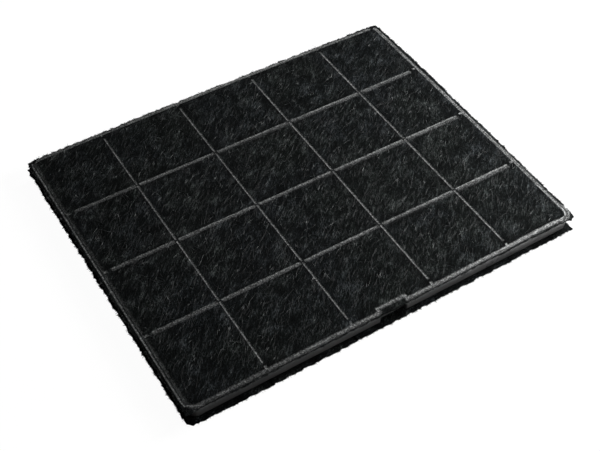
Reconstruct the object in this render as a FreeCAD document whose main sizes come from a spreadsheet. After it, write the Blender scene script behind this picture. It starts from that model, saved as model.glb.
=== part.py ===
"""Flat carbon filter cassette for a cooker hood, in millimetres.

A moulded lattice frame holds one charge of activated carbon in each cell. A sheet of
non-woven fleece closes each face, welded to the rim and to the ribs. The front of the rim
steps inwards round a recess for the hood's latch. The origin is the centre of the
underside, +X runs along the long side, -Y is the latch side and +Z is up.
"""

import FreeCAD, Part
import os
from collections import namedtuple

import Sketcher
from FreeCAD import Vector

COLUMN_COUNT = 5
ROW_COUNT = 4
RECESS_COLUMN = COLUMN_COUNT // 2
LAST_COLUMN = COLUMN_COUNT - 1
LAST_ROW = ROW_COUNT - 1
SAME_PLACE = 0.01

SIZES = {
    "CellWidth": ("48.6", "inner cell, left to right"),
    "EndCellWidth": ("40.3", "cell in the first or last column, left to right"),
    "CellDepth": ("46.2", "cell, front to back"),
    "CellCorner": ("1.2", "inside radius of a cell's corners"),
    "CrossRibWall": ("1.4", "thickness of a front-to-back rib"),
    "LongRibWall": ("1.9", "thickness of a left-to-right rib"),
    "FrameHeight": ("8", "rim and ribs, without the weld beads"),
    "RimWall": ("2.5", "wall of the rim, also round the recess"),
    "RimCorner": ("5.5", "outer radius of the rim's corners"),
    "RimEdge": ("0.4", "bevel of the rim's outer edges"),
    "RecessWidth": ("16", "latch recess, clear width"),
    "RecessDepth": ("2.5", "latch recess, in from the rim's outer face"),
    "RecessCorner": ("0.8", "radius of the step round the latch recess"),
    "BeadWidth": ("0.8", "weld bead on the rim and the ribs"),
    "BeadHeight": ("0.3", "weld bead, above the rib"),
    "BeadStopAtRim": ("1.7", "a rib's bead ends this far short of the rim"),
    "LongBeadBreak": ("2", "break in a left-to-right bead at a crossing"),
    "CrossBeadBreak": ("1", "break in a front-to-back bead at a crossing"),
    "FleeceThickness": ("1", "a fleece sheet between its welds"),
    "FleeceMargin": ("2.6", "fleece beyond the rim, where it is not trimmed"),
    "TopFrontMargin": ("0.6", "upper sheet beyond the front of the rim"),
    "TopBackMargin": ("1", "upper sheet beyond the back of the rim"),
    "CornerCutX": ("5", "cut corner of a sheet, along the long side"),
    "CornerCutY": ("3", "cut corner of a sheet, along the short side"),
    "WeldSink": ("0.35", "how far a weld lies below the fleece's face"),
    "RimWeldWidth": ("2", "weld along the rim"),
    "LongWeldWidth": ("1.8", "weld along a left-to-right rib"),
    "CrossWeldWidth": ("1.3", "weld along a front-to-back rib"),
    "BedGap": ("0.2", "carbon to the walls of its cell"),
    "BedHeadroom": ("0.3", "carbon to the upper fleece"),
}

# Places on the plan, as expressions of the sizes
CROSS_PITCH = "(Sizes.CellWidth + Sizes.CrossRibWall)"
LONG_PITCH = "(Sizes.CellDepth + Sizes.LongRibWall)"
INSIDE_X = f"({(COLUMN_COUNT - 2) / 2} * {CROSS_PITCH} + Sizes.CrossRibWall / 2 + Sizes.EndCellWidth)"
INSIDE_Y = f"({ROW_COUNT / 2} * {LONG_PITCH} - Sizes.LongRibWall / 2)"
OUTSIDE_X = f"({INSIDE_X} + Sizes.RimWall)"
OUTSIDE_Y = f"({INSIDE_Y} + Sizes.RimWall)"

# Levels above the underside
FRAME_FOOT = "Sizes.FleeceThickness"
FRAME_TOP = "(Sizes.FleeceThickness + Sizes.FrameHeight)"
TOTAL_HEIGHT = "(2 * Sizes.FleeceThickness + Sizes.FrameHeight)"

# A corner of an outline, rounded where it has a radius
Corner = namedtuple("Corner", "x y radius", defaults=(None,))
# A straight weld on the plan
Strip = namedtuple("Strip", "low_x high_x low_y high_y")


def make_sizes(doc):
    """Fill the sheet with the driving dimensions."""
    sheet = doc.addObject("Spreadsheet::Sheet", "Sizes")
    for row, (name, (value, note)) in enumerate(SIZES.items(), start=1):
        sheet.set(f"A{row}", name)
        sheet.set(f"B{row}", value)
        sheet.set(f"C{row}", note)
        sheet.setAlias(f"B{row}", name)
    doc.recompute()


def value_of(expression):
    """The number that an expression of the sizes gives now."""
    return FreeCAD.ActiveDocument.getObject("Sizes").evalExpression(expression)


def new_body(doc, label, level):
    """An empty body with its plan at a level above the underside."""
    body = doc.addObject("PartDesign::Body", label)
    body.Label = label
    body.setExpression("Placement.Base.z", level)
    return body


def origin_plane(body, role):
    """One of a body's own base planes."""
    return next(f for f in body.Origin.OriginFeatures if f.Role == role)


def flat_sketch(body, label, outlines):
    """A sketch of closed outlines on the body's plan."""
    sketch = body.newObject("Sketcher::SketchObject", label)
    sketch.AttachmentSupport = [(origin_plane(body, "XY_Plane"), "")]
    sketch.MapMode = "FlatFace"
    sketch.Visibility = False
    rules = []
    for corners in outlines:
        rules += add_outline(sketch, corners)
    sketch.addConstraint([constraint for constraint, _ in rules])
    for index, (_, expression) in enumerate(rules):
        if expression:
            sketch.setExpression(f"Constraints[{index}]", expression)
    return sketch


def pin_point(geometry, point, x, y):
    """The two dimensions of a point of a sketch from its origin, with their expressions."""
    return [
        (Sketcher.Constraint("DistanceX", -1, 1, geometry, point, value_of(x)), x),
        (Sketcher.Constraint("DistanceY", -1, 1, geometry, point, value_of(y)), y),
    ]


def moved(coordinate, direction, distance):
    """A coordinate moved by a distance to its low or high side."""
    sign = "+" if direction > 0 else "-"
    return f"({coordinate} {sign} {distance})"


def add_arc(sketch, corner, before, after):
    """Round a square corner.

    It returns the arc's number, its two ends in the outline's order, the numbers of those
    ends in the sketch, and the rules that dimension the arc.
    """
    radius = value_of(corner.radius)
    centre_x = moved(corner.x, (after - before).x, corner.radius)
    centre_y = moved(corner.y, (after - before).y, corner.radius)
    centre = Vector(value_of(centre_x), value_of(centre_y), 0)
    start = centre - after * radius
    end = centre + before * radius
    middle = centre + (before - after).normalize() * radius
    number = sketch.addGeometry(Part.Arc(start, middle, end), False)
    rules = [(Sketcher.Constraint("Radius", number, radius), corner.radius)]
    rules += pin_point(number, 3, centre_x, centre_y)
    in_order = sketch.getPoint(number, 1).distanceToPoint(start) < SAME_PLACE
    return number, start, end, (1, 2) if in_order else (2, 1), rules


def add_outline(sketch, corners):
    """Add one closed outline, and return the rules that dimension it."""
    count = len(corners)
    rules = []
    places = [Vector(value_of(c.x), value_of(c.y), 0) for c in corners]
    arcs = []
    for i, corner in enumerate(corners):
        before = (places[i] - places[i - 1]).normalize()
        after = (places[(i + 1) % count] - places[i]).normalize()
        arcs.append(add_arc(sketch, corner, before, after) if corner.radius else None)
    lines = []
    for i in range(count):
        following = (i + 1) % count
        start = arcs[i][2] if arcs[i] else places[i]
        end = arcs[following][1] if arcs[following] else places[following]
        lines.append(sketch.addGeometry(Part.LineSegment(start, end), False))
    for i, corner in enumerate(corners):
        if arcs[i]:
            arc, _, _, (first, last), arc_rules = arcs[i]
            rules += arc_rules
            rules.append((Sketcher.Constraint("Tangent", lines[i - 1], 2, arc, first), None))
            rules.append((Sketcher.Constraint("Tangent", arc, last, lines[i], 1), None))
        else:
            rules.append((Sketcher.Constraint("Coincident", lines[i - 1], 2, lines[i], 1), None))
            rules += pin_point(lines[i], 1, corner.x, corner.y)
    return rules


def rim_corners(inset, front):
    """The four corners of the rim's outline, moved in from its outer face."""
    side = f"({OUTSIDE_X} - {inset})"
    back = f"({OUTSIDE_Y} - {inset})"
    radius = f"(Sizes.RimCorner - {inset})"
    return [
        Corner(f"(-{side})", front, radius),
        Corner(side, front, radius),
        Corner(side, back, radius),
        Corner(f"(-{side})", back, radius),
    ]


def recess_step(inset, front, mouth_radius=None):
    """The corners where an outline steps in round the latch recess."""
    half_width = f"(Sizes.RecessWidth / 2 + {inset})"
    depth = f"(-{OUTSIDE_Y} + Sizes.RecessDepth + {inset})"
    return [
        Corner(f"(-{half_width})", front, mouth_radius),
        Corner(f"(-{half_width})", depth, "Sizes.RecessCorner"),
        Corner(half_width, depth, "Sizes.RecessCorner"),
        Corner(half_width, front, mouth_radius),
    ]


def recess_outline():
    """The latch recess with its rounded mouth, closed in front of the rim."""
    face = f"(-{OUTSIDE_Y})"
    clear = f"(-{OUTSIDE_Y} - Sizes.RimWall)"
    return [
        *recess_step("0", face, "Sizes.RecessCorner"),
        Corner("Sizes.RecessWidth", face),
        Corner("Sizes.RecessWidth", clear),
        Corner("(-Sizes.RecessWidth)", clear),
        Corner("(-Sizes.RecessWidth)", face),
    ]


def rim_outline(inset, front=None):
    """The rim's outline with its step, moved in from its outer face.

    The front run of the outline can be set by itself.
    """
    front = front or f"(-{OUTSIDE_Y} + {inset})"
    corners = rim_corners(inset, front)
    corners[1:1] = recess_step(inset, front, "Sizes.RecessCorner")
    return corners


def span(index, count, pitch, wall, inside):
    """The two clear sides of one of a row of cells: ribs, or the rim at the ends."""
    low = f"({index - count / 2} * {pitch} + {wall} / 2)" if index > 0 else f"(-{inside})"
    high = f"({index + 1 - count / 2} * {pitch} - {wall} / 2)" if index < count - 1 else inside
    return low, high


def cell_sides(row, column):
    """The left, right, front and back walls of one cell."""
    left, right = span(column, COLUMN_COUNT, CROSS_PITCH, "Sizes.CrossRibWall", INSIDE_X)
    front, back = span(row, ROW_COUNT, LONG_PITCH, "Sizes.LongRibWall", INSIDE_Y)
    return left, right, front, back


def cell_outline(row, column):
    """The outline of one cell, with rounded corners."""
    left, right, front, back = cell_sides(row, column)
    return [
        Corner(left, front, "Sizes.CellCorner"),
        Corner(right, front, "Sizes.CellCorner"),
        Corner(right, back, "Sizes.CellCorner"),
        Corner(left, back, "Sizes.CellCorner"),
    ]


def cut_corner_outline(left, right, front, back, cut_x, cut_y):
    """A rectangle with its corners cut off, from its front left corner on."""
    return [
        Corner(f"({left} + {cut_x})", front),
        Corner(f"({right} - {cut_x})", front),
        Corner(right, f"({front} + {cut_y})"),
        Corner(right, f"({back} - {cut_y})"),
        Corner(f"({right} - {cut_x})", back),
        Corner(f"({left} + {cut_x})", back),
        Corner(left, f"({back} - {cut_y})"),
        Corner(left, f"({front} + {cut_y})"),
    ]


def add_pad(doc, body, label, outlines, length, side="One side"):
    """Raise outlines into a solid, or add them to the body."""
    pad = body.newObject("PartDesign::Pad", label)
    pad.Profile = flat_sketch(body, f"{label}_sketch", outlines)
    pad.SideType = side
    pad.setExpression("Length", length)
    body.Tip = pad
    doc.recompute()
    return pad


def cut_through(doc, body, label, outline):
    """Cut an outline right through the frame, and stop if it took nothing away."""
    before = body.Tip.Shape.Volume
    pocket = body.newObject("PartDesign::Pocket", label)
    pocket.Profile = flat_sketch(body, f"{label}_sketch", [outline])
    pocket.SideType = "Symmetric"
    pocket.setExpression("Length", "2 * Sizes.FrameHeight")
    body.Tip = pocket
    doc.recompute()
    if pocket.Shape.Volume >= before:
        raise ValueError(f"{label} cut nothing from {body.Label}")
    return pocket


def row_pattern(body, label, pocket, axis, count, pitch):
    """A straight pattern of a pocket along one axis of its sketch."""
    pattern = body.newObject("PartDesign::LinearPattern", label)
    pattern.Direction = (pocket.Profile[0], [axis])
    pattern.setExpression("Length", f"{count - 1} * {pitch}")
    pattern.Occurrences = count
    return pattern


def repeat(doc, body, label, pocket, transformations):
    """Repeat a pocket over the frame."""
    repeated = body.newObject("PartDesign::MultiTransform", label)
    repeated.Originals = [pocket]
    repeated.Transformations = transformations
    body.Tip = repeated
    doc.recompute()


def level_edges(shape):
    """The names of a block's edges that lie level, round its top and bottom."""
    names = []
    for number, edge in enumerate(shape.Edges, start=1):
        ends = [v.Point.z for v in edge.Vertexes]
        if max(ends) - min(ends) < SAME_PLACE:
            names.append(f"Edge{number}")
    return names


def make_lattice(doc):
    """The rim and its ribs, with the step round the latch recess."""
    body = new_body(doc, "lattice", f"{FRAME_FOOT} + Sizes.FrameHeight / 2")
    block = add_pad(
        doc, body, "block", [rim_corners("0", f"(-{OUTSIDE_Y})")], "Sizes.FrameHeight", "Symmetric"
    )
    bevel = body.newObject("PartDesign::Chamfer", "rim_bevel")
    bevel.Base = (block, level_edges(block.Shape))
    bevel.setExpression("Size", "Sizes.RimEdge")
    body.Tip = bevel
    doc.recompute()

    inner_cell = cut_through(doc, body, "inner_cell", cell_outline(0, 1))
    across = row_pattern(body, "inner_across", inner_cell, "H_Axis", COLUMN_COUNT - 2, CROSS_PITCH)
    along = row_pattern(body, "inner_along", inner_cell, "V_Axis", ROW_COUNT, LONG_PITCH)
    repeat(doc, body, "inner_cells", inner_cell, [across, along])
    end_cell = cut_through(doc, body, "end_cell", cell_outline(0, 0))
    along = row_pattern(body, "end_along", end_cell, "V_Axis", ROW_COUNT, LONG_PITCH)
    mirror = body.newObject("PartDesign::Mirrored", "end_mirror")
    mirror.MirrorPlane = (origin_plane(body, "YZ_Plane"), [""])
    repeat(doc, body, "end_cells", end_cell, [along, mirror])

    wall = recess_step("Sizes.RimWall", f"(-{INSIDE_Y} - Sizes.RimWall / 2)")
    add_pad(doc, body, "recess_wall", [wall], "Sizes.FrameHeight", "Symmetric")
    cut_through(doc, body, "recess", recess_outline())
    return body


def weld_strips(long_width, cross_width):
    """The straight welds on the ribs, one to each stretch between crossings."""
    strips = []
    for rib in range(1, ROW_COUNT):
        middle = f"({rib - ROW_COUNT / 2} * {LONG_PITCH})"
        for column in range(COLUMN_COUNT):
            low, high = span(column, COLUMN_COUNT, CROSS_PITCH, "Sizes.LongBeadBreak", INSIDE_X)
            low = f"({low} + Sizes.BeadStopAtRim)" if column == 0 else low
            high = f"({high} - Sizes.BeadStopAtRim)" if column == LAST_COLUMN else high
            sides = (f"({middle} - {long_width} / 2)", f"({middle} + {long_width} / 2)")
            strips.append(Strip(low, high, *sides))
    for rib in range(1, COLUMN_COUNT):
        middle = f"({rib - COLUMN_COUNT / 2} * {CROSS_PITCH})"
        for row in range(ROW_COUNT):
            low, high = span(row, ROW_COUNT, LONG_PITCH, "Sizes.CrossBeadBreak", INSIDE_Y)
            low = f"({low} + Sizes.BeadStopAtRim)" if row == 0 else low
            high = f"({high} - Sizes.BeadStopAtRim)" if row == LAST_ROW else high
            sides = (f"({middle} - {cross_width} / 2)", f"({middle} + {cross_width} / 2)")
            strips.append(Strip(*sides, low, high))
    return strips


def make_strips(doc, label, strips, low_z, high_z):
    """One box to each straight weld, between two levels."""
    boxes = []
    for number, strip in enumerate(strips, start=1):
        box = doc.addObject("Part::Box", f"{label}_{number}")
        box.setExpression("Length", f"{strip.high_x} - {strip.low_x}")
        box.setExpression("Width", f"{strip.high_y} - {strip.low_y}")
        box.setExpression("Height", f"{high_z} - {low_z}")
        box.setExpression("Placement.Base.x", strip.low_x)
        box.setExpression("Placement.Base.y", strip.low_y)
        box.setExpression("Placement.Base.z", low_z)
        boxes.append(box)
    return boxes


def make_weld(doc, label, ring, strips, low_z, high_z):
    """The shape of a weld all over one face: a ring on the rim and strips on the ribs."""
    ring_body = new_body(doc, f"{label}_ring", low_z)
    add_pad(doc, ring_body, f"{label}_ring_pad", ring, f"{high_z} - {low_z}")
    weld = doc.addObject("Part::Compound", label)
    weld.Links = [ring_body, *make_strips(doc, label, strips, low_z, high_z)]
    doc.recompute()
    return weld


def make_beads(doc):
    """The weld beads of both faces, as bars that run down through the rim and the ribs."""
    ring = [
        rim_outline("(Sizes.RimWall / 2 - Sizes.BeadWidth / 2)"),
        rim_outline("(Sizes.RimWall / 2 + Sizes.BeadWidth / 2)"),
    ]
    strips = weld_strips("Sizes.BeadWidth", "Sizes.BeadWidth")
    low_z = f"({FRAME_FOOT} - Sizes.BeadHeight)"
    high_z = f"({FRAME_TOP} + Sizes.BeadHeight)"
    return make_weld(doc, "beads", ring, strips, low_z, high_z)


def make_frame(doc, beads):
    """The moulded lattice with the weld beads that stand on it."""
    frame = doc.addObject("Part::MultiFuse", "frame")
    frame.Shapes = [make_lattice(doc), beads]
    frame.Refine = True
    doc.recompute()
    return frame


def sheet_outline(front_margin, back_margin):
    """A sheet's outline beyond the rim, with its corners cut off."""
    side = f"({OUTSIDE_X} + Sizes.FleeceMargin)"
    front = f"(-{OUTSIDE_Y} - {front_margin})"
    back = f"({OUTSIDE_Y} + {back_margin})"
    return cut_corner_outline(f"(-{side})", side, front, back, "Sizes.CornerCutX", "Sizes.CornerCutY")


def make_fleece(doc, label, foot, outline, weld, beads):
    """One sheet of fleece, thinned at its welds, with seats for the frame's beads."""
    blank = new_body(doc, f"{label}_blank", foot)
    add_pad(doc, blank, f"{label}_pad", [outline], "Sizes.FleeceThickness")
    thinned = cut(doc, f"{label}_thinned", blank, weld)
    return cut(doc, label, thinned, beads)


def cut(doc, label, base, tool):
    """One piece with another cut out of it."""
    left = doc.addObject("Part::Cut", label)
    left.Base = base
    left.Tool = tool
    doc.recompute()
    return left


def make_top_fleece(doc, beads):
    """The upper sheet. It is trimmed at the front, where its weld runs out to the edge."""
    past_the_front = f"(-{OUTSIDE_Y} - Sizes.RimWall)"
    ring = [rim_outline("0", past_the_front), rim_outline("Sizes.RimWeldWidth")]
    strips = weld_strips("Sizes.LongWeldWidth", "Sizes.CrossWeldWidth")
    low_z = f"({TOTAL_HEIGHT} - Sizes.WeldSink)"
    weld = make_weld(doc, "top_weld", ring, strips, low_z, f"({TOTAL_HEIGHT} + Sizes.WeldSink)")
    outline = sheet_outline("Sizes.TopFrontMargin", "Sizes.TopBackMargin")
    return make_fleece(doc, "top_fleece", FRAME_TOP, outline, weld, beads)


def make_bottom_fleece(doc, beads):
    """The lower sheet, with an untrimmed margin all round."""
    ring = [rim_outline("0"), rim_outline("Sizes.RimWeldWidth")]
    strips = weld_strips("Sizes.LongWeldWidth", "Sizes.CrossWeldWidth")
    weld = make_weld(doc, "bottom_weld", ring, strips, "(-Sizes.WeldSink)", "Sizes.WeldSink")
    outline = sheet_outline("Sizes.FleeceMargin", "Sizes.FleeceMargin")
    return make_fleece(doc, "bottom_fleece", "0", outline, weld, beads)


def make_bed(doc, row, column):
    """The charge of carbon in one cell, lying on the lower fleece.

    Its corners are cut off by the radius of the cell's, so it clears the round of the walls.
    """
    label = f"carbon_bed_{row + 1}_{column + 1}"
    body = new_body(doc, label, FRAME_FOOT)
    left, right, front, back = cell_sides(row, column)
    sides = (
        f"({left} + Sizes.BedGap)",
        f"({right} - Sizes.BedGap)",
        f"({front} + Sizes.BedGap)",
        f"({back} - Sizes.BedGap)",
    )
    outline = cut_corner_outline(*sides, "Sizes.CellCorner", "Sizes.CellCorner")
    if row == 0 and column == RECESS_COLUMN:
        outline[1:1] = recess_step("(Sizes.RimWall + Sizes.BedGap)", outline[0].y)
    add_pad(doc, body, f"{label}_charge", [outline], "Sizes.FrameHeight - Sizes.BedHeadroom")
    return body


def check(doc, pieces):
    """Stop if any object failed, or if a sub-part is not one sound solid."""
    for thing in doc.Objects:
        if "Invalid" in thing.State or "Error" in thing.State:
            raise ValueError(f"{thing.Label} failed: {thing.State}")
    for piece in pieces:
        if piece.Shape.isNull() or not piece.Shape.isValid():
            raise ValueError(f"{piece.Label} has no sound shape")
        if len(piece.Shape.Solids) != 1:
            raise ValueError(f"{piece.Label} has {len(piece.Shape.Solids)} solids")


def main():
    """Build every sub-part, check it and write it."""
    doc = FreeCAD.newDocument("carbon_filter")
    make_sizes(doc)
    beads = make_beads(doc)
    pieces = [make_frame(doc, beads), make_top_fleece(doc, beads), make_bottom_fleece(doc, beads)]
    for row in range(ROW_COUNT):
        for column in range(COLUMN_COUNT):
            pieces.append(make_bed(doc, row, column))
    doc.recompute()
    check(doc, pieces)
    os.makedirs("parts", exist_ok=True)
    for piece in pieces:
        piece.Shape.exportStep(f"parts/{piece.Label}.step")
        print(f"{piece.Label}: {len(piece.Shape.Faces)} faces, {piece.Shape.Volume:.0f} mm3")


main()
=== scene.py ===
"""Looks of a flat carbon filter cassette for a cooker hood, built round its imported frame.

Lengths are in metres. The origin is the centre of the underside, +X runs along the long
side, -Y is the latch side and +Z is up.
"""
import enum
import logging
import math
from dataclasses import dataclass

import bpy
import numpy as np
from bpy.types import Material, NodeTree, Object
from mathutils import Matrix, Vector


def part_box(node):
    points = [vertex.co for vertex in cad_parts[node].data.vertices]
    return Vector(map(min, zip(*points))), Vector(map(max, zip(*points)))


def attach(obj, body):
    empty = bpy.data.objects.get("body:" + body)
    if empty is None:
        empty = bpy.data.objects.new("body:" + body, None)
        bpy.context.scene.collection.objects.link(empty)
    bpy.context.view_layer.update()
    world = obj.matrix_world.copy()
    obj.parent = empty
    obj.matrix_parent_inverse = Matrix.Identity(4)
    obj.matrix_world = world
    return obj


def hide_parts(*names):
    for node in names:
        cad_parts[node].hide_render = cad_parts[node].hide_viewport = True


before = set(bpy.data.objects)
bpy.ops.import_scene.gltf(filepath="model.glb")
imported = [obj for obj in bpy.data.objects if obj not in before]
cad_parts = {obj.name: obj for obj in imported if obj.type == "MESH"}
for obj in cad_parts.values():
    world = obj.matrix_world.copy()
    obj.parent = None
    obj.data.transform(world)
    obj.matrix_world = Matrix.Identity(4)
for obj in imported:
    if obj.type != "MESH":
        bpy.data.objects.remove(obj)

LOG = logging.getLogger("carbon_filter")
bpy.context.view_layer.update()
BODY = "root"
MM = 0.001
COLUMNS = 5
ROWS = 4

# The sockets of a Mix node that mixes colours.
MIX_FACTOR, MIX_FIRST, MIX_SECOND, MIX_RESULT = 0, 6, 7, 2

Array = np.ndarray
Socket = bpy.types.NodeSocket
Sockets = bpy.types.bpy_prop_collection
Settings = dict[str | int, object]
Range = tuple[float, float]
Triple = tuple[float, float, float]
Row = tuple[float, ...]
Box = tuple[float, float, float, float]
Colour = tuple[float, float, float, float]
Stops = tuple[tuple[float, Colour], ...]
Moves = tuple[Array, Array]


def tone(red: float, green: float, blue: float) -> Colour:
    """Give a colour without transparency."""
    return (red, green, blue, 1.0)


def smooth_step(low: float, high: float, value: Array) -> Array:
    """Rise smoothly from 0 at the first value to 1 at the second, which may be the lower one."""
    share = np.clip((value - low) / (high - low), 0.0, 1.0)
    return share * share * (3.0 - 2.0 * share)


@dataclass(frozen=True)
class Profile:
    """A value along a line: a level with smooth changes, each by its start, end and size."""

    level: float
    changes: tuple[Triple, ...] = ()

    def at(self, place: Array) -> Array:
        """Give the value."""
        return self.level + sum(size * smooth_step(low, high, place) for low, high, size in self.changes)


@dataclass(frozen=True)
class PatchNoise:
    """Smooth noise over a plane."""

    pick: int
    patch: float
    height: float  # it runs from this below 0 to this above
    knots: int = 512

    def at(self, seed: int, x: Array, y: Array) -> Array:
        """Evaluate the noise.

        Args:
            seed: The seed of the piece.
            x, y: Places on the plan.

        Returns:
            One value for each place.
        """
        draws = np.random.default_rng(seed + self.pick)
        table = draws.uniform(-1.0, 1.0, (self.knots, self.knots))
        table_x = x / self.patch + self.knots / 2
        table_y = y / self.patch + self.knots / 2
        column = np.floor(table_x).astype(int)
        row = np.floor(table_y).astype(int)
        across = smooth_step(0.0, 1.0, table_x - column)
        along = smooth_step(0.0, 1.0, table_y - row)
        column, row = column % self.knots, row % self.knots
        right, above = (column + 1) % self.knots, (row + 1) % self.knots
        near = table[row, column] * (1 - across) + table[row, right] * across
        far = table[above, column] * (1 - across) + table[above, right] * across
        return self.height * (near * (1 - along) + far * along)


def inside_box(x: Array, y: Array, box: Box) -> Array:
    """Measure how far places lie inside a box of low x, high x, low y and high y."""
    low_x, high_x, low_y, high_y = box
    return np.minimum.reduce([x - low_x, high_x - x, y - low_y, high_y - y])


@dataclass(frozen=True)
class Plan:
    """The cassette's layout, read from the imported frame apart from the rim's own small sizes."""

    half_x: float  # from the middle to the rim's left and right faces
    half_y: float
    rib_x: Row  # middles of the front-to-back ribs
    rib_y: Row  # middles of the left-to-right ribs
    rim_wall: float = 2.5 * MM
    rim_corner: float = 5.5 * MM
    recess_half: float = 8.0 * MM
    recess_depth: float = 2.5 * MM

    @classmethod
    def read(cls) -> "Plan":
        """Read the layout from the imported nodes.

        Returns:
            The layout.
        """
        columns = [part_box(f"carbon_bed_1_{column}") for column in range(1, COLUMNS + 1)]
        rows = [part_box(f"carbon_bed_{row}_1") for row in range(1, ROWS + 1)]
        _, rim_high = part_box("frame")
        return cls(
            half_x=rim_high.x,
            half_y=rim_high.y,
            rib_x=tuple((left[1].x + right[0].x) / 2 for left, right in zip(columns, columns[1:])),
            rib_y=tuple((front[1].y + back[0].y) / 2 for front, back in zip(rows, rows[1:])),
        )

    def rim_depth(self, x: Array, y: Array) -> Array:
        """Measure how far places lie inside the rim's outer face and its latch recess.

        Args:
            x, y: Places on the plan.

        Returns:
            The depth behind the outer face, negative outside it.
        """
        over_x = np.abs(x) - (self.half_x - self.rim_corner)
        over_y = np.abs(y) - (self.half_y - self.rim_corner)
        corner = np.hypot(np.maximum(over_x, 0), np.maximum(over_y, 0))
        rim = self.rim_corner - corner - np.minimum(np.maximum(over_x, over_y), 0)
        recess = np.maximum(np.abs(x) - self.recess_half, y + self.half_y - self.recess_depth)
        return np.minimum(rim, recess)


@dataclass(frozen=True)
class WeldLayout:
    """Where the fleece is welded down: a band on the rim and a strip on each rib."""

    plan: Plan
    band: float = 2.0 * MM
    long_strip: float = 1.8 * MM  # width on a left-to-right rib
    cross_strip: float = 1.3 * MM  # width on a front-to-back rib
    stop: float = 1.7 * MM  # from the rim's inner face to the end of a strip
    long_break: float = 2.0 * MM
    cross_break: float = 1.0 * MM
    nub_half: float = 0.7 * MM
    nub_reach: float = 1.0 * MM

    def end(self, half: float) -> float:
        """Give where the strips end that run towards a face of the rim."""
        return half - self.plan.rim_wall - self.stop

    def _runs(self, ribs: Row, crossed: Row, gap: float, half: float) -> list[Triple]:
        """List the strips of one way by their rib and their two ends.

        Args:
            ribs: Middles of the ribs that carry them.
            crossed: Middles of the ribs that they cross.
            gap: The break at each crossing.
            half: From the middle to the face of the rim.

        Returns:
            One row for each strip between two crossings.
        """
        lows = [-self.end(half), *(rib + gap / 2 for rib in crossed)]
        highs = [*(rib - gap / 2 for rib in crossed), self.end(half)]
        return [(rib, low, high) for rib in ribs for low, high in zip(lows, highs)]

    def long_runs(self) -> list[Triple]:
        """List the left-to-right strips by their rib, left end and right end."""
        return self._runs(self.plan.rib_y, self.plan.rib_x, self.long_break, self.plan.half_x)

    def cross_runs(self) -> list[Triple]:
        """List the front-to-back strips by their rib, front end and back end."""
        return self._runs(self.plan.rib_x, self.plan.rib_y, self.cross_break, self.plan.half_y)

    def nubs(self) -> list[Box]:
        """List the boxes of the nubs on the band.

        Returns:
            One box for each nub.
        """
        plan, half = self.plan, self.nub_half
        made = []
        for side in (-1, 1):
            starts, ends = self.band / 2, self.band + self.nub_reach
            reach = sorted((side * (plan.half_y - starts), side * (plan.half_y - ends)))
            made += [(rib - half, rib + half, *reach) for rib in plan.rib_x]
            reach = sorted((side * (plan.half_x - starts), side * (plan.half_x - ends)))
            made += [(*reach, rib - half, rib + half) for rib in plan.rib_y]
        return made

    def outside(self, x: Array, y: Array, front_runs_out: bool) -> Array:
        """Measure how far places lie from the nearest weld.

        Args:
            x, y: Places on the plan.
            front_runs_out: Whether the front band runs on to the sheet's edge.

        Returns:
            The distance, negative inside a weld.
        """
        plan = self.plan
        depth = plan.rim_depth(x, y)
        nearest = np.maximum(depth - self.band, -depth)
        if front_runs_out:
            straight = (np.abs(x) < plan.half_x - plan.rim_corner) & (np.abs(x) > plan.recess_half)
            nearest = np.where(straight & (y < 0), depth - self.band, nearest)
        wide, narrow = self.long_strip / 2, self.cross_strip / 2
        boxes = [(low, high, rib - wide, rib + wide) for rib, low, high in self.long_runs()]
        boxes += [(rib - narrow, rib + narrow, low, high) for rib, low, high in self.cross_runs()]
        for box in boxes + self.nubs():
            nearest = np.minimum(nearest, -inside_box(x, y, box))
        return nearest

    def off_bead(self, x: Array, y: Array) -> Array:
        """Measure how far places lie from the middle of the nearest bead of the frame."""
        on_ribs = [np.abs(y - rib) for rib in self.plan.rib_y] + [np.abs(x - rib) for rib in self.plan.rib_x]
        return np.minimum.reduce([np.abs(self.plan.rim_depth(x, y) - self.plan.rim_wall / 2), *on_ribs])


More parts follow.
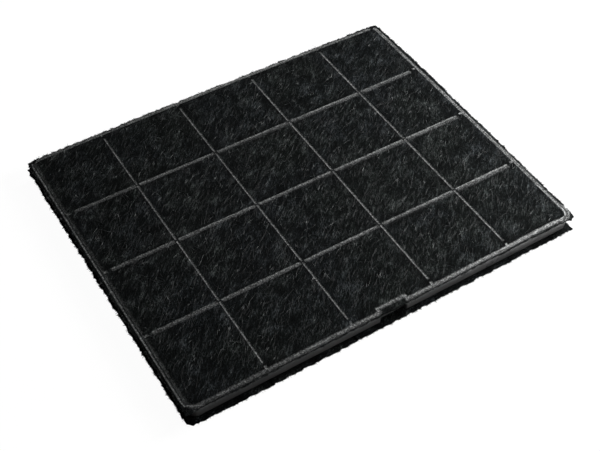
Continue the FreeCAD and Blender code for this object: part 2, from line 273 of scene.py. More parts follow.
@dataclass(frozen=True)
class WeldMeltAndPaintedHighlight:
    """How strongly the fleece is melted smooth on its welds, with a painted highlight and painted shade laid
    into that strength.

    The left-to-right strips and the front band carry a painted highlight along their back edge. On the left
    the band carries a painted highlight only along the outer edge of the rim, and the rest of it is painted
    shade. The strength grows towards the right as painted light from the lamp on that side. A band's edges
    are given by their depth behind the rim's outer face.
    """

    welds: WeldLayout
    blur: float = 0.2 * MM
    long_lean: float = 0.35 * MM  # how far forward they lie at the right face
    long_reach: Range = (-1.75 * MM, 0.55 * MM)
    long_start: float = 0.7 * MM
    long_stop: float = 1.1 * MM
    # painted highlight along the back edge of each left-to-right strip
    long_painted_back_highlight: Profile = Profile(0.45, ((-1.2 * MM, -0.1 * MM, 0.55),))
    # painted light: the strips grow stronger towards the right, where the lamp is
    long_painted_light_along: Profile = Profile(0.7, ((-110 * MM, -50 * MM, 0.3), (30 * MM, 90 * MM, 0.2)))
    cross_half: float = 0.53 * MM
    # the painted highlight of a front-to-back strip sits on the slope that faces the lamp
    cross_shift: float = 0.22 * MM  # to the right of the rib
    cross_stop: float = 1.2 * MM
    # painted light: the front-to-back strips grow stronger towards the right
    cross_painted_light_along: Profile = Profile(1.0, ((-60 * MM, 60 * MM, 0.35),))
    side_width: float = 4 * MM  # how far in a band counts as left or right
    side_stop: float = 3 * MM
    # painted highlight: on the left only the rim's outer slope, which faces the lamp, is bright
    left: Range = (-1.3 * MM, -0.55 * MM)  # outer and inner edge
    right_outer: Profile = Profile(
        -0.2 * MM, ((-95 * MM, -30 * MM, -0.8 * MM), (-86 * MM, -94.5 * MM, -1.0 * MM))
    )
    right_inner: Profile = Profile(1.6 * MM, ((-95 * MM, -30 * MM, -0.8 * MM),))
    front_outer: Profile = Profile(
        -0.7 * MM, ((30 * MM, 105 * MM, 0.6 * MM), (106 * MM, 117 * MM, -1.3 * MM))
    )
    front_inner: Profile = Profile(
        1.4 * MM, ((30 * MM, 105 * MM, 0.6 * MM), (106 * MM, 117 * MM, -0.6 * MM))
    )
    # painted light: the front band grows stronger towards the right
    front_painted_light_along: Profile = Profile(0.62, ((-110 * MM, -40 * MM, 0.38),))
    # painted highlight along the back edge of the front band
    front_painted_back_highlight: Profile = Profile(0.5, ((-0.2 * MM, 0.8 * MM, 0.45),))
    back_arch: Profile = Profile(0.8 * MM, ((0.0, 97 * MM, 0.6 * MM),))
    # painted shade: the rest of the left band shows only at this low strength
    faint: float = 0.14  # strength of the whole band on the left

    def shown(self, reach: Array) -> Array:
        """Show what lies inside a stretch, with a soft edge."""
        return smooth_step(-self.blur, self.blur, reach)

    def at(self, x: Array, y: Array) -> Array:
        """Give the strength at each place: the melted welds with their painted highlight and painted shade.

        Args:
            x, y: Places on the plan.

        Returns:
            A share that is 0 away from the welds, about 1 on them and up to 1.35 at the most.
        """
        made = self._on_rim(x, y)
        half_x, half_y = self.welds.plan.half_x, self.welds.plan.half_y
        low_back, high_back = self.long_reach
        for rib, low, high in self.welds.long_runs():
            back = y - rib + self.long_lean * x / half_x
            clear = self.welds.end(half_x) - self.long_stop - np.abs(x)
            ends = [x - low - self.long_start, high - x, clear]
            reach = np.minimum.reduce([*ends, back - low_back, high_back - back])
            # painted highlight: brighter along the strip's back edge and towards the right, where the lamp
            # is
            strength = self.long_painted_back_highlight.at(back) * self.long_painted_light_along.at(x)
            made = np.maximum(made, strength * self.shown(reach))
        for rib, low, high in self.welds.cross_runs():
            clear = self.welds.end(half_y) - self.cross_stop - np.abs(y)
            beside = self.cross_half - np.abs(x - rib - self.cross_shift)
            reach = np.minimum.reduce([y - low, high - y, clear, beside])
            # painted light: stronger towards the right
            made = np.maximum(made, self.cross_painted_light_along.at(x) * self.shown(reach))
        for box in self.welds.nubs():
            made = np.maximum(made, self.shown(inside_box(x, y, box)))
        return made

    def _on_rim(self, x: Array, y: Array) -> Array:
        """Give the strength of the bands on the rim, with a painted highlight on their back edge and painted
        shade over most of the left band.

        Args:
            x, y: Places on the plan.

        Returns:
            The strength, 0 away from the bands.
        """
        plan, band = self.welds.plan, self.welds.band
        depth = plan.rim_depth(x, y)
        beside = np.abs(y) < plan.half_y - self.side_stop
        left = beside & (x < -(plan.half_x - self.side_width))
        right = beside & (x > plan.half_x - self.side_width)
        front = ~left & ~right & (y < 0)
        arch = (x / plan.half_x) ** 2 * self.back_arch.at(x)
        outers = [self.left[0], self.right_outer.at(y), self.front_outer.at(x)]
        inners = [self.left[1], self.right_inner.at(y), self.front_inner.at(x)]
        outer = np.select([left, right, front], outers, arch)
        inner = np.select([left, right, front], inners, band + arch)
        # painted light towards the right, and a painted highlight on the front band's back edge
        strength = np.where(front, self.front_painted_light_along.at(x) * self.front_painted_back_highlight.at(depth), 1.0)
        made = strength * self.shown(np.minimum(inner - depth, depth - outer))
        # painted shade: the left band away from its outer edge stays faint
        return np.maximum(made, left * self.faint * self.shown(np.minimum(band - depth, depth)))


class Face(enum.Enum):
    """The side of the cassette that a sheet closes, with its direction along Z."""

    UPPER = 1.0
    LOWER = -1.0


class Graph:
    """A node tree that is filled from code."""

    def __init__(self, tree: NodeTree) -> None:
        """Hold the tree."""
        self.tree = tree

    def fill(self, node: bpy.types.Node, inputs: Settings) -> None:
        """Set or link inputs of a node.

        Args:
            node: The node.
            inputs: A value or a socket for each input that is set.
        """
        for key, value in inputs.items():
            if isinstance(value, Socket):
                self.tree.links.new(value, node.inputs[key])
            else:
                node.inputs[key].default_value = value

    def node(self, kind: str, inputs: Settings | None = None, **settings: object) -> bpy.types.Node:
        """Add a node.

        Args:
            kind: The node's type.
            inputs: A value or a socket for each input that is set.
            settings: The node's own properties.

        Returns:
            The new node.
        """
        made = self.tree.nodes.new(kind)
        for key, value in settings.items():
            setattr(made, key, value)
        self.fill(made, inputs or {})
        return made

    def math(self, operation: str, first: object, second: object) -> Socket:
        """Add a Math node for two values or sockets."""
        return self.node("ShaderNodeMath", {0: first, 1: second}, operation=operation).outputs[0]

    def add_up(self, parts: list[tuple[Socket, float]], base: object = 0.0) -> Socket:
        """Add values, each times its own share.

        Args:
            parts: The sockets with their shares.
            base: The value or socket that they are added to.

        Returns:
            The sum.
        """
        for value, share in parts:
            base = self.math("ADD", base, self.math("MULTIPLY", value, share))
        return base

    def mix(self, share: object, first: object, second: object, blend: str = "MIX") -> Socket:
        """Mix two colours, with the share of the second one that shows."""
        inputs = {MIX_FACTOR: share, MIX_FIRST: first, MIX_SECOND: second}
        return self.node("ShaderNodeMix", inputs, data_type="RGBA", blend_type=blend).outputs[MIX_RESULT]

    def ramp(self, value: Socket, stops: Stops) -> Socket:
        """Turn a value into a colour.

        Args:
            value: The socket that gives the value.
            stops: Places on the ramp with their colours.

        Returns:
            The colour.
        """
        made = self.node("ShaderNodeValToRGB", {"Fac": value})
        elements = made.color_ramp.elements
        while len(elements) < len(stops):
            elements.new(0.5)
        for element, (place, colour) in zip(elements, stops):
            element.position = place
            element.color = colour
        return made.outputs["Color"]

    def spread(self, value: Socket, limits: Range) -> Socket:
        """Stretch the values between two limits over 0 to 1."""
        inputs = {"Value": value, "From Min": limits[0], "From Max": limits[1]}
        return self.node("ShaderNodeMapRange", inputs).outputs["Result"]


def new_pattern(name: str, values: list[str], outputs: list[str]) -> tuple[Graph, Sockets]:
    """Make an empty node group that takes a place and some values.

    Args:
        name: The group's name.
        values: Names of the values that it takes.
        outputs: Names of the values that it puts out.

    Returns:
        The group's tree, and the sockets that hold the place and the values.
    """
    tree = bpy.data.node_groups.new(name, "ShaderNodeTree")
    tree.interface.new_socket("Vector", in_out="INPUT", socket_type="NodeSocketVector")
    for way, labels in (("INPUT", values), ("OUTPUT", outputs)):
        for label in labels:
            tree.interface.new_socket(label, in_out=way, socket_type="NodeSocketFloat")
    graph = Graph(tree)
    return graph, graph.node("NodeGroupInput").outputs


@dataclass(frozen=True)
class SharedPatterns:
    """The patterns that the finishes share or use more than once, as node groups."""

    fibres: NodeTree
    blotches: NodeTree
    grains: NodeTree

    @classmethod
    def build(cls) -> "SharedPatterns":
        """Make the three groups."""
        return cls(cls._fibres(), cls._blotches(), cls._grains())

    @staticmethod
    def _fibres() -> NodeTree:
        """Make noise that is drawn out along one direction.

        Returns:
            The node group.
        """
        graph, given = new_pattern("fibre_streaks", ["Angle", "Length", "Width", "Bend"], ["Value"])
        inputs = {"Vector": given["Vector"], "Angle": given["Angle"]}
        turned = graph.node("ShaderNodeVectorRotate", inputs, rotation_type="Z_AXIS")
        sizes = {"X": given["Length"], "Y": given["Width"], "Z": given["Width"]}
        inputs = {0: turned.outputs[0], 1: graph.node("ShaderNodeCombineXYZ", sizes).outputs[0]}
        drawn = graph.node("ShaderNodeVectorMath", inputs, operation="DIVIDE")
        inputs = {"Vector": drawn.outputs[0], "Distortion": given["Bend"]}
        inputs |= {"Scale": 1.0, "Detail": 3.0, "Roughness": 0.62}
        noise = graph.node("ShaderNodeTexNoise", inputs)
        graph.node("NodeGroupOutput", {"Value": noise.outputs["Fac"]})
        return graph.tree

    @staticmethod
    def _blotches() -> NodeTree:
        """Make soft noise at one size.

        Returns:
            The node group.
        """
        graph, given = new_pattern("blotches", ["Size"], ["Value"])
        inputs = {"Vector": given["Vector"], "Scale": graph.math("DIVIDE", 1.0, given["Size"])}
        noise = graph.node("ShaderNodeTexNoise", inputs | {"Detail": 4.0, "Roughness": 0.55})
        graph.node("NodeGroupOutput", {"Value": noise.outputs["Fac"]})
        return graph.tree

    @staticmethod
    def _grains() -> NodeTree:
        """Make rounded grains, each with a height and a random tone.

        Returns:
            The node group.
        """
        graph, given = new_pattern("grains", ["Size"], ["Height", "Tone"])
        inputs = {"Vector": given["Vector"], "Scale": graph.math("DIVIDE", 1.0, given["Size"])}
        cells = graph.node("ShaderNodeTexVoronoi", inputs).outputs
        height = graph.math("SUBTRACT", 1.0, cells["Distance"])
        shade = graph.node("ShaderNodeSeparateColor", {"Color": cells["Color"]}).outputs[0]
        graph.node("NodeGroupOutput", {"Height": height, "Tone": shade})
        return graph.tree


class Finish:
    """A material with one Principled shader."""

    def __init__(self, name: str, patterns: SharedPatterns) -> None:
        """Make the empty material.

        Args:
            name: The material's name.
            patterns: The shared node groups.
        """
        self.material = bpy.data.materials.new(name)
        self.material.use_nodes = True
        self.patterns = patterns
        self.graph = Graph(self.material.node_tree)
        self.shader = self.material.node_tree.nodes["Principled BSDF"]
        self.place = self.graph.node("ShaderNodeTexCoord").outputs["Object"]

    def pattern(self, group: NodeTree, inputs: Settings, output: str = "Value") -> Socket:
        """Use a shared pattern with its values, and give the output that is wanted."""
        inputs = {"Vector": self.place, **inputs}
        return self.graph.node("ShaderNodeGroup", inputs, node_tree=group).outputs[output]

    def blotches(self, size: float) -> Socket:
        """Use the soft uneven patches at one size."""
        return self.pattern(self.patterns.blotches, {"Size": size})

    def grains(self, size: float, output: str) -> Socket:
        """Use one output of the small grains at one size."""
        return self.pattern(self.patterns.grains, {"Size": size}, output)

    def finish(self, inputs: Settings, height: Socket | None = None, relief: float = 0.0,
               strength: float = 1.0) -> Material:
        """Give the shader its inputs and, where there is a height, its bump.

        Args:
            inputs: A value or a socket for each input.
            height: The socket that gives the height, from 0 to 1.
            relief: The real height of the bump.
            strength: How much of it shows.

        Returns:
            The finished material.
        """
        self.graph.fill(self.shader, inputs)
        if height is not None:
            bump = {"Height": height, "Distance": relief, "Strength": strength}
            normal = self.graph.node("ShaderNodeBump", bump).outputs["Normal"]
            self.graph.fill(self.shader, {"Normal": normal, "Coat Normal": normal})
        return self.material


@dataclass(frozen=True)
class Streaks:
    """One layer of parallel fibres."""

    lay: float  # degrees from +X
    length: float
    width: float
    bend: float

    def on(self, finish: Finish) -> Socket:
        """Use the fibre pattern at these sizes."""
        sizes = {"Length": self.length, "Width": self.width, "Bend": self.bend}
        return finish.pattern(finish.patterns.fibres, {"Angle": math.radians(-self.lay), **sizes})


@dataclass(frozen=True)
class FleeceFinish:
    """Black non-woven fleece with streaks of paler fibres, and its greyer, smoother welds, whose grey
    carries the painted highlight and painted shade of the weld attribute.
    """

    fine: Streaks = Streaks(43.0, 3.8 * MM, 0.5 * MM, 0.2)
    cross: Streaks = Streaks(72.0, 2.6 * MM, 0.42 * MM, 0.3)
    cross_share: float = 0.96
    broad: Streaks = Streaks(43.0, 9.0 * MM, 2.4 * MM, 0.5)
    speck: float = 1.1 * MM
    patch: float = 9 * MM
    tint: float = 30 * MM
    knurl: float = 0.75 * MM
    tone_shares: Row = (0.4, 0.2, 0.22, 0.18)  # of pile, broad bands, patches and specks
    tone_range: Range = (0.438, 0.628)
    tones: Stops = (
        (0.0, tone(0.0006, 0.0008, 0.0009)),
        (0.3, tone(0.0017, 0.0021, 0.0022)),
        (0.6, tone(0.0071, 0.0081, 0.0083)),
        (1.0, tone(0.049, 0.053, 0.0535)),
    )
    tint_range: Range = (0.4, 0.6)
    tints: tuple[Colour, Colour] = (tone(0.97, 1.0, 1.05), tone(0.99, 1.02, 0.96))
    weld_base: float = 0.6  # how much is melted between the grains
    weld_knurl: float = 0.45  # how much more on the grains
    knurl_range: Range = (0.25, 0.75)
    pressed_range: Range = (0.34, 0.66)
    pressed: Stops = (
        (0.0, tone(0.014, 0.0145, 0.0143)),
        (0.5, tone(0.050, 0.052, 0.0515)),
        (1.0, tone(0.21, 0.215, 0.212)),
    )
    roughness: float = 0.85
    weld_smoother: float = 0.45
    coat_range: Range = (0.22, 0.5)
    weld_relief: float = 0.3
    relief: float = 0.6 * MM

    def make(self, patterns: SharedPatterns) -> Material:
        """Make the material.

        Args:
            patterns: The shared node groups.

        Returns:
            The finished material.
        """
        finish = Finish("fleece", patterns)
        graph = finish.graph
        specks = finish.blotches(self.speck)
        crossing = graph.math("MULTIPLY", self.cross.on(finish), self.cross_share)
        pile = graph.math("MAXIMUM", self.fine.on(finish), crossing)
        layers = [pile, self.broad.on(finish), finish.blotches(self.patch), specks]
        shade = graph.add_up(list(zip(layers, self.tone_shares)))
        dark = graph.ramp(graph.spread(shade, self.tone_range), self.tones)
        tint = graph.mix(graph.spread(finish.blotches(self.tint), self.tint_range), *self.tints)
        fleece = graph.mix(1.0, dark, tint, "MULTIPLY")

        knurl = finish.grains(self.knurl, "Height")
        melted = graph.spread(knurl, self.knurl_range)
        melted = graph.add_up([(melted, self.weld_knurl)], self.weld_base)
        # the weld attribute brings its painted highlight and painted shade into the base colour, roughness
        # and coat
        weld = graph.node("ShaderNodeAttribute", attribute_name="weld").outputs["Fac"]
        weld = graph.math("MINIMUM", graph.math("MULTIPLY", weld, melted), 1.0)
        grain = graph.add_up([(specks, 0.5), (knurl, 0.5)])
        pressed = graph.ramp(graph.spread(grain, self.pressed_range), self.pressed)
        hairs = graph.math("MULTIPLY", graph.math("SUBTRACT", 1.0, weld), pile)
        height = graph.add_up([(graph.math("MULTIPLY", weld, knurl), self.weld_relief)], hairs)
        inputs = {
            "Base Color": graph.mix(weld, fleece, pressed),
            "Roughness": graph.add_up([(weld, -self.weld_smoother)], self.roughness),
            "Specular IOR Level": 0.04,
            "Coat Weight": graph.math("MULTIPLY", weld, graph.spread(specks, self.coat_range)),
            "Coat Roughness": 0.33,
        }
        return finish.finish(inputs, height, self.relief)


@dataclass(frozen=True)
class FibreFinish:
    """Single fibres that lie on the fleece or stand out of its edge."""

    patch: float = 3.5 * MM
    tone_range: Range = (0.35, 0.65)
    tones: Stops = (
        (0.0, tone(0.003, 0.0033, 0.0035)),
        (0.7, tone(0.02, 0.0215, 0.0213)),
        (1.0, tone(0.14, 0.147, 0.145)),
    )

    def make(self, patterns: SharedPatterns) -> Material:
        """Make the material.

        Args:
            patterns: The shared node groups.

        Returns:
            The finished material.
        """
        finish = Finish("loose_fibre", patterns)
        shade = finish.graph.spread(finish.blotches(self.patch), self.tone_range)
        colour = finish.graph.ramp(shade, self.tones)
        return finish.finish({"Base Color": colour, "Roughness": 0.6, "Specular IOR Level": 0.2})


@dataclass(frozen=True)
class PlasticFinish:
    """Satin black moulded plastic with a faint skin texture."""

    cloud: float = 14 * MM
    tone_range: Range = (0.35, 0.65)
    tones: Stops = ((0.0, tone(0.027, 0.0275, 0.028)), (1.0, tone(0.036, 0.0362, 0.0355)))
    roughness: float = 0.22
    rougher: float = 0.16
    skin: float = 0.5 * MM
    relief: float = 0.02 * MM
    strength: float = 0.35

    def make(self, patterns: SharedPatterns) -> Material:
        """Make the material.

        Args:
            patterns: The shared node groups.

        Returns:
            The finished material.
        """
        finish = Finish("frame_plastic", patterns)
        clouds = finish.blotches(self.cloud)
        inputs = {
            "Base Color": finish.graph.ramp(finish.graph.spread(clouds, self.tone_range), self.tones),
            "Roughness": finish.graph.add_up([(clouds, self.rougher)], self.roughness),
            "Specular IOR Level": 0.6,
        }
        return finish.finish(inputs, finish.blotches(self.skin), self.relief, self.strength)


@dataclass(frozen=True)
class CarbonFinish:
    """Matt black granules of activated carbon."""

    grain: float = 2.6 * MM
    relief: float = 1.2 * MM
    tones: Stops = ((0.0, tone(0.006, 0.006, 0.0065)), (1.0, tone(0.022, 0.022, 0.023)))

    def make(self, patterns: SharedPatterns) -> Material:
        """Make the material.

        Args:
            patterns: The shared node groups.

        Returns:
            The finished material.
        """
        finish = Finish("carbon", patterns)
        shade, height = (finish.grains(self.grain, output) for output in ("Tone", "Height"))
        colour = finish.graph.ramp(shade, self.tones)
        return finish.finish({"Base Color": colour, "Roughness": 0.75}, height, self.relief)


def select_only(thing: Object) -> None:
    """Select one object and make it active.

    Args:
        thing: The object.
    """
    bpy.ops.object.select_all(action="DESELECT")
    thing.select_set(True)
    bpy.context.view_layer.objects.active = thing


def read_points(thing: Object) -> Array:
    """Read a mesh's vertices.

    Args:
        thing: The mesh object.

    Returns:
        One row of x, y and z for each vertex.
    """
    points = np.zeros(len(thing.data.vertices) * 3, np.float32)
    thing.data.vertices.foreach_get("co", points)
    return points.reshape(-1, 3).astype(float)


def write_points(thing: Object, points: Array) -> None:
    """Write a mesh's vertices, as one row of x, y and z for each."""
    thing.data.vertices.foreach_set("co", points.astype(np.float32).ravel())
    thing.data.update()


@dataclass(frozen=True)
class GridLines:
    """Grid lines along one side, closer together where there is detail."""

    low: float
    high: float
    coarse: float
    zones: tuple[Triple, ...]  # middle, half width and spacing of each
    measure: float = 0.02 * MM

    def places(self) -> Array:
        """Work out where the lines lie.

        Returns:
            The place of each line.
        """
        steps = np.arange(self.low, self.high, self.measure)
        density = np.full(len(steps), 1.0 / self.coarse)
        for middle, half, spacing in self.zones:
            density[np.abs(steps - middle) < half] = 1.0 / spacing
        total = np.append(0.0, np.cumsum(density * self.measure))
        wanted = np.linspace(0, total[-1], math.ceil(total[-1]) + 1)
        return np.interp(wanted, total, np.append(steps, self.high))


@dataclass(frozen=True)
class Strands:
    """Thin fibres that make one mesh, built in code because there are thousands of them."""

    name: str
    lines: Array  # fibres by points by x, y and z
    radii: Array
    sides: int = 3

    def build(self, fibre: Material) -> Object:
        """Make the mesh, with one closed tube to each fibre, and let it ride.

        Args:
            fibre: Its material.

        Returns:
            The finished piece.
        """
        count, rings, _ = self.lines.shape
        along = np.gradient(self.lines, axis=1)
        along /= np.linalg.norm(along, axis=2, keepdims=True)
        across = np.cross(along, [0.0, 0.0, 1.0])
        across /= np.maximum(np.linalg.norm(across, axis=2, keepdims=True), 1e-9)
        upward = np.cross(across, along)
        turns = np.arange(self.sides)[:, None] * 2 * math.pi / self.sides
        offsets = across[:, :, None] * np.cos(turns) + upward[:, :, None] * np.sin(turns)
        points = self.lines[:, :, None] + offsets * self.radii[:, :, None, None]
        faces = []
        first = np.arange(count)[:, None] * rings * self.sides
        for ring in range(rings - 1):
            for side in range(self.sides):
                near = ring * self.sides + side
                beside = ring * self.sides + (side + 1) % self.sides
                quad = [near, beside, beside + self.sides, near + self.sides]
                faces += (first + np.array(quad)).tolist()
        faces += (first + np.arange(self.sides)[::-1]).tolist()
        faces += (first + (rings - 1) * self.sides + np.arange(self.sides)).tolist()
        mesh = bpy.data.meshes.new(self.name)
        mesh.from_pydata(points.reshape(-1, 3).tolist(), [], faces)
        mesh.update()
        made = bpy.data.objects.new(self.name, mesh)
        bpy.context.scene.collection.objects.link(made)
        select_only(made)
        bpy.ops.object.mode_set(mode="EDIT")
        bpy.ops.mesh.select_all(action="SELECT")
        bpy.ops.mesh.normals_make_consistent(inside=False)
        bpy.ops.object.mode_set(mode="OBJECT")
        mesh.materials.append(fibre)
        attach(made, BODY)
        return made


@dataclass(frozen=True)
class EdgeTrim:
    """Where a sheet was cut a little wider or narrower than its outline."""

    right: Profile  # how far out the right edge lies, from front to back
    front: Profile  # how far out the front edge lies, from left to right
    tip_forward: float = 0.0
    back_in: float = 0.0
    back_bow: float = 0.0
    near_edge: Range = (6 * MM, 3.5 * MM)
    tip_x: float = 118.4 * MM
    tip_half: float = 2.2 * MM
    tip_start: Range = (-92 * MM, -94.5 * MM)

    def moves(self, x: Array, y: Array, high: Vector) -> Moves:
        """Give how far the cut edge moves.

        Args:
            x, y: Places on the plan.
            high: The sheet's highest corner.

        Returns:
            The moves along both sides, for places on the edge.
        """
        start, end = self.near_edge
        at_right = smooth_step(high.x - start, high.x - end, x)
        at_back = smooth_step(high.y - start, high.y - end, y)
        at_front = smooth_step(high.y - start, high.y - end, -y)
        tip = np.clip(1 - np.abs(x - self.tip_x) / self.tip_half, 0, 1)
        forward = self.tip_forward * tip * smooth_step(*self.tip_start, y) + self.front.at(x) * at_front
        back_in = (self.back_in + self.back_bow * (x / high.x) ** 2) * at_back
        return self.right.at(y) * at_right, -forward - back_in


UPPER_TRIM = EdgeTrim(
    right=Profile(0.0, (
        (-15 * MM, -60 * MM, -0.95 * MM), (-86 * MM, -93 * MM, -0.55 * MM),
        (0.0, 45 * MM, 0.6 * MM), (65 * MM, 95 * MM, -0.6 * MM),
    )),
    front=Profile(0.6 * MM),
    tip_forward=1.5 * MM,
    back_in=0.45 * MM,
    back_bow=1.3 * MM,
)
LOWER_TRIM = EdgeTrim(
    right=Profile(0.0, ((-78 * MM, -88 * MM, -2.3 * MM), (-97.2 * MM, -98.2 * MM, 0.2 * MM))),
    front=Profile(0.45 * MM, ((60 * MM, 100 * MM, -0.45 * MM), (-118.5 * MM, -121.5 * MM, -2.2 * MM))),
)


@dataclass
class FleeceSheet:
    """One sheet of fleece with its welds, its fuzzy cut edge and its loose fibres."""

    face: Face
    node: str
    welds: WeldLayout
    trim: EdgeTrim
    seed: int
    lift: float  # of the free margin, as a share of flop
    flutter: float
    droop: float = 0.0  # how far the front edge hangs down
    cut_x: float = 5.0 * MM
    cut_y: float = 3.0 * MM
    sink: float = 0.35 * MM
    groove_wall: Range = (-0.6 * MM, 0.2 * MM)
    seat: float = 0.32 * MM  # depth of the seat over a bead of the frame
    seat_wall: Range = (0.4 * MM, 0.75 * MM)
    shoulder: float = 0.15 * MM
    shoulder_reach: float = 1.0 * MM
    pillow: float = 0.14 * MM  # how far a cell's middle stands above its sides
    pillow_reach: float = 9 * MM
    face_level: float = 0.11 * MM  # mean depth of the uneven face
    face_noise: tuple[PatchNoise, ...] = (
        PatchNoise(4, 2.6 * MM, 0.04 * MM), PatchNoise(5, 11 * MM, 0.07 * MM)
    )
    face_start: Range = (0.0, 1.5 * MM)
    edge_thinning: float = 0.14 * MM
    edge_round: Range = (-0.2 * MM, 0.5 * MM)
    ragged: float = 0.5 * MM
    ragged_reach: float = 1.8 * MM
    ragged_mean: float = 0.25  # this and the noise are shares of ragged
    ragged_noise: tuple[PatchNoise, ...] = (
        PatchNoise(1, 1.3 * MM, 0.9), PatchNoise(2, 4.0 * MM, 0.5), PatchNoise(3, 26 * MM, 0.4)
    )
    trim_reach: float = 6.5 * MM
    flop: float = 0.3 * MM  # how far the margin's end sags or lifts at a share of 1
    margin: float = 2.6 * MM
    flop_most: float = 1.6  # where this stops growing, as a share of the margin
    flop_curve: float = 1.5
    flop_noise: PatchNoise = PatchNoise(6, 14 * MM, 1.0)
    droop_start: Range = (0.0, 0.6 * MM)
    coarse: float = 1.4 * MM  # spacing of the grid on plain ground
    fine: float = 0.26 * MM
    border: float = 0.46 * MM
    rib_zone: float = 1.5 * MM
    border_zone: float = 4.2 * MM
    border_inset: float = 1.6 * MM
    recess_outset: float = 1.0 * MM
    crease: float = 50.0

    def __post_init__(self) -> None:
        """Read the sheet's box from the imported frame."""
        self.low, self.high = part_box(self.node)
        self.thickness = self.high.z - self.low.z
        self.side = self.face.value
        upper = self.face is Face.UPPER
        self.outer_z, self.inner_z = (self.high.z, self.low.z) if upper else (self.low.z, self.high.z)

    def edge_depth(self, x: Array, y: Array) -> tuple[Array, Array]:
        """Measure how far places lie inside the sheet's cut outline.

        Args:
            x, y: Places on the plan.

        Returns:
            The depth behind the nearest edge, and that edge's outward direction.
        """
        edge_y = np.where(y > 0, self.high.y, -self.low.y)
        in_x = self.high.x - np.abs(x)
        in_y = edge_y - np.abs(y)
        slant = math.hypot(self.cut_x, self.cut_y)
        in_corner = (in_x * self.cut_y + in_y * self.cut_x - self.cut_x * self.cut_y) / slant
        depths = np.stack([in_x, in_y, in_corner])
        nearest = depths.argmin(axis=0)
        ways = np.array([[1.0, 0.0], [0.0, 1.0], [self.cut_y / slant, self.cut_x / slant]])
        signs = np.stack([np.where(x > 0, 1.0, -1.0), np.where(y > 0, 1.0, -1.0)], axis=-1)
        return depths.min(axis=0), ways[nearest] * signs

    def edge_move(self, x: Array, y: Array) -> Moves:
        """Give how far the cut edge's unevenness moves places near it.

        Args:
            x, y: Places on the plan.

        Returns:
            The moves along both sides.
        """
        depth, way = self.edge_depth(x, y)
        wander = self.ragged_mean + sum(noise.at(self.seed, x, y) for noise in self.ragged_noise)
        rough = np.clip(1 - depth / self.ragged_reach, 0, 1) ** 2 * self.ragged * wander
        trim_x, trim_y = self.trim.moves(x, y, self.high)
        trimmed = np.clip(1 - depth / self.trim_reach, 0, 1) ** 2
        return way[:, 0] * rough + trim_x * trimmed, way[:, 1] * rough + trim_y * trimmed

    def relief(self, x: Array, y: Array) -> Array:
        """Give the outer face's depth below its level.

        Args:
            x, y: Places on the plan.

        Returns:
            The depth, 0 or more.
        """
        away = self.welds.outside(x, y, self.face is Face.UPPER)
        distance = np.maximum(away, 0)
        melted = 1.0 - smooth_step(*self.groove_wall, away)
        beside = self.shoulder * np.exp(-distance / self.shoulder_reach) * (1 - melted)
        hollow = self.pillow * np.exp(-distance / self.pillow_reach)
        uneven = self.face_level + sum(noise.at(self.seed, x, y) for noise in self.face_noise)
        soft = smooth_step(*self.face_start, away) * uneven
        return np.maximum(self.sink * melted + beside + hollow + soft, 0)

    def margin_lift(self, x: Array, y: Array) -> Array:
        """Give how far the free margin lifts or sags beyond the rim.

        Args:
            x, y: Places on the plan.

        Returns:
            The rise, negative where it sags.
        """
        plan = self.welds.plan
        beyond = np.maximum(-plan.rim_depth(x, y), 0) / self.margin
        curl = self.flop * np.minimum(beyond, self.flop_most) ** self.flop_curve
        hang = self.droop * smooth_step(*self.droop_start, -plan.half_y - y)
        return curl * (self.lift + self.flutter * self.flop_noise.at(self.seed, x, y)) - hang

    def grid_lines(self) -> tuple[Array, Array]:
        """Place the grid lines, closer together at the welds and along the edges.

        Returns:
            The places of the lines along both sides.
        """
        plan = self.welds.plan
        recess = plan.recess_half + self.recess_outset
        made = []
        for axis, ribs, half, corners in (
            (0, plan.rib_x, plan.half_x, (-recess, recess)), (1, plan.rib_y, plan.half_y, ())
        ):
            edge = half - self.border_inset
            zones = [(place, self.rib_zone, self.fine) for place in ribs]
            zones += [(place, self.border_zone, self.border) for place in (-edge, edge)]
            zones += [(place, self.rib_zone, self.border) for place in corners]
            made.append(GridLines(self.low[axis], self.high[axis], self.coarse, tuple(zones)).places())
        return made[0], made[1]

    def flat_blank(self) -> Object:
        """Cut the flat sheet: a grid with its corners cut off, given its thickness.

        Returns:
            The flat sheet.
        """
        lines_x, lines_y = self.grid_lines()
        cells_x, cells_y = len(lines_x) - 1, len(lines_y) - 1
        bpy.ops.object.select_all(action="DESELECT")
        bpy.ops.mesh.primitive_grid_add(x_subdivisions=cells_x, y_subdivisions=cells_y, size=2.0)
        sheet = bpy.context.active_object
        sheet.name = f"{self.node}_sheet"
        sheet.data.name = sheet.name
        points = read_points(sheet)
        column = np.rint((points[:, 0] + 1) / 2 * cells_x).astype(int)
        row = np.rint((points[:, 1] + 1) / 2 * cells_y).astype(int)
        write_points(sheet, np.stack([lines_x[column], lines_y[row], np.zeros(len(points))], axis=1))
        bpy.ops.object.mode_set(mode="EDIT")
        for side_x in (-1, 1):
            for edge_y in (self.low.y, self.high.y):
                side_y = math.copysign(1.0, edge_y)
                bpy.ops.mesh.select_all(action="SELECT")
                bpy.ops.mesh.bisect(
                    plane_co=(side_x * (self.high.x - self.cut_x), edge_y, 0),
                    plane_no=(side_x * self.cut_y, side_y * self.cut_x, 0),
                    clear_outer=True,
                )
        bpy.ops.object.mode_set(mode="OBJECT")
        solidify = sheet.modifiers.new("thickness", "SOLIDIFY")
        solidify.thickness = self.thickness
        solidify.offset = -1.0
        bpy.ops.object.modifier_apply(modifier=solidify.name)
        return sheet

